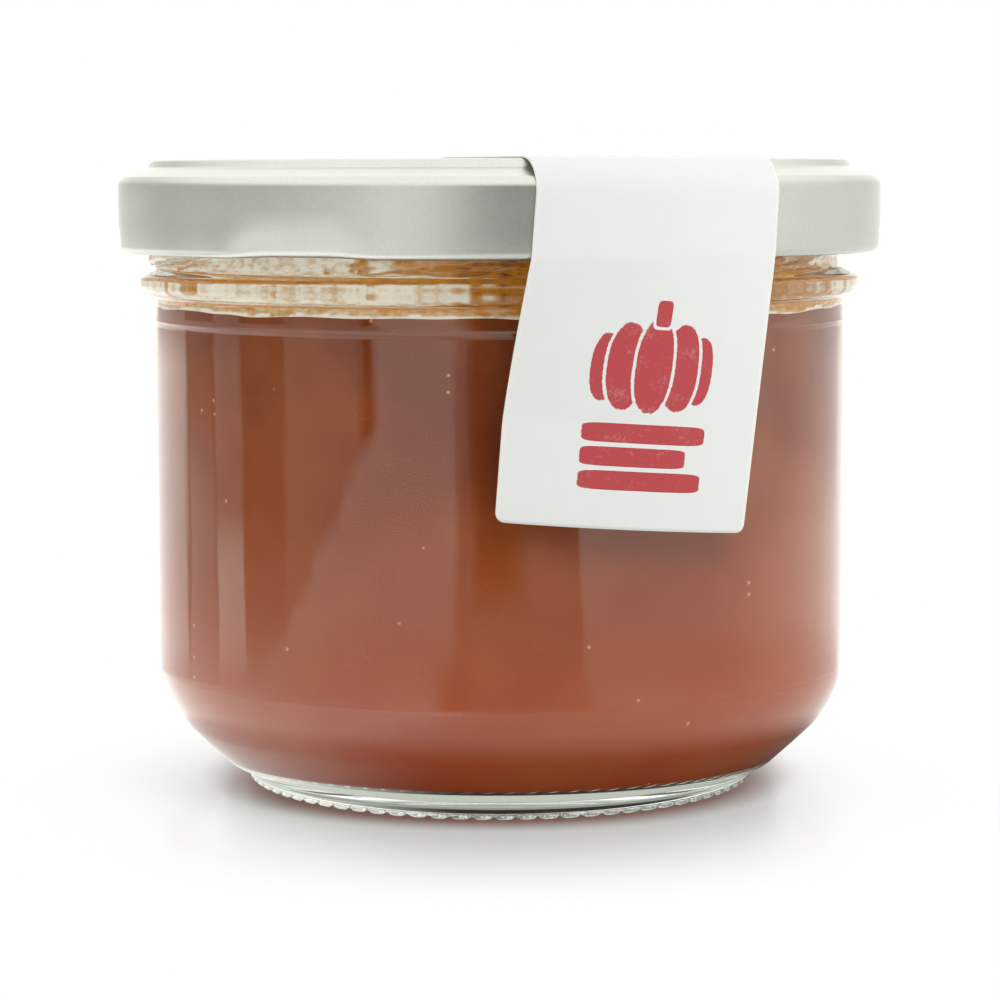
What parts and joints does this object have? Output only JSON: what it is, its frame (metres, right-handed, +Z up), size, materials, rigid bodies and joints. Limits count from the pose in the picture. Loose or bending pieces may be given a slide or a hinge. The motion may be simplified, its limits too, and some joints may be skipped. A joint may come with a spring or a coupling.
{
  "type": "jar of pumpkin jam",
  "caption": "Low clear glass jar with slanted heel, shoulder ring and knurled foot, full of brown-orange pumpkin jam, with a silver twist-off cap and a white paper strip folded over it",
  "frame": {"origin": "centre of the circle on which the jar stands, on the floor", "axes": "+Z up along the jar's axis, -Y towards the front, +X to the right of someone facing the front"},
  "size_m": [0.086, 0.0862, 0.0704],
  "materials": {
    "clear_glass": "clear, glossy",
    "jam": "cooked pumpkin jam, glossy where it meets the glass",
    "tinplate": "satin silver lacquered tinplate",
    "paper": "uncoated white paper"
  },
  "bodies": {
    "root": {"jar": "clear_glass", "jam": "jam", "lid": "tinplate", "label": "paper"}
  },
  "joints": []
}
